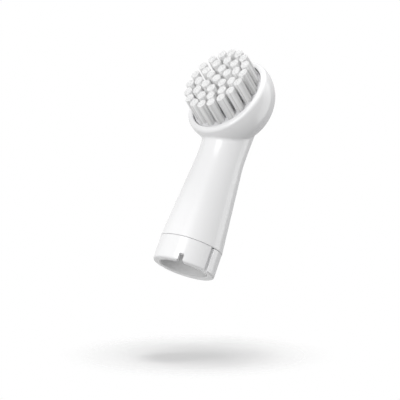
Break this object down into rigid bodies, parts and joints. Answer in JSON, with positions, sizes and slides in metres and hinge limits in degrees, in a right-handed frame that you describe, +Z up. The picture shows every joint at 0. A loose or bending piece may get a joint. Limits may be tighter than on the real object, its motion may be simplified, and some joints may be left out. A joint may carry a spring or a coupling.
{
  "type": "facial cleansing brush head",
  "caption": "Push-on brush head: a round cup of nylon tufts, tilted on a hollow tapered neck, whose disc is swung to and fro by a shaft and finger from the handle's spindle.",
  "frame": {"origin": "centre of the mouth that pushes onto the handle, on the plane of its edge", "axes": "+Z up the neck from the mouth, the brush faces -Y and a little up, +X to the right seen from the back"},
  "size_m": [0.0264, 0.0236, 0.064],
  "materials": {
    "shell_plastic": "gloss moulded white",
    "disc_plastic": "moulded white",
    "bearing_plastic": "natural acetal",
    "nylon": "fine filaments, trimmed level",
    "steel": "ground",
    "brass": "drawn strip"
  },
  "bodies": {
    "housing": {"head_shell": "shell_plastic", "coupling_collar": "shell_plastic", "lower_bush": "bearing_plastic", "upper_bush": "bearing_plastic", "disc_bush": "bearing_plastic", "thrust_washer": "bearing_plastic"},
    "drive": {"drive_shaft": "steel", "drive_finger": "bearing_plastic", "drive_socket": "bearing_plastic", "shaft_clip": "steel"},
    "brush": {"brush_disc": "disc_plastic", "tuft_anchors": "brass", "tuft_01": "nylon", "tuft_02": "nylon", "tuft_03": "nylon", "tuft_04": "nylon", "tuft_05": "nylon", "tuft_06": "nylon", "tuft_07": "nylon", "tuft_08": "nylon", "tuft_09": "nylon", "tuft_10": "nylon", "tuft_11": "nylon", "tuft_12": "nylon", "tuft_13": "nylon", "tuft_14": "nylon", "tuft_15": "nylon", "tuft_16": "nylon", "tuft_17": "nylon", "tuft_18": "nylon", "tuft_19": "nylon", "tuft_20": "nylon", "tuft_21": "nylon", "tuft_22": "nylon", "tuft_23": "nylon", "tuft_24": "nylon", "tuft_25": "nylon", "tuft_26": "nylon", "tuft_27": "nylon", "tuft_28": "nylon", "tuft_29": "nylon", "tuft_30": "nylon", "tuft_31": "nylon", "tuft_32": "nylon", "tuft_33": "nylon", "tuft_34": "nylon", "tuft_35": "nylon", "tuft_36": "nylon"}
  },
  "joints": [
    {"name": "drive_turn", "type": "hinge", "parent": "housing", "child": "drive", "pos_m": [0, 0, 0], "axis": [0, 0, 1], "range_deg": [-24, 24]},
    {"name": "brush_swing", "type": "hinge", "parent": "housing", "child": "brush", "pos_m": [0, -0.00542, 0.05053], "axis": [0, -0.9613, 0.2756], "range_deg": [-12, 12]}
  ],
  "couplings": [
    {"joint": "drive_turn", "follows": "brush_swing", "ratio": 2}
  ]
}
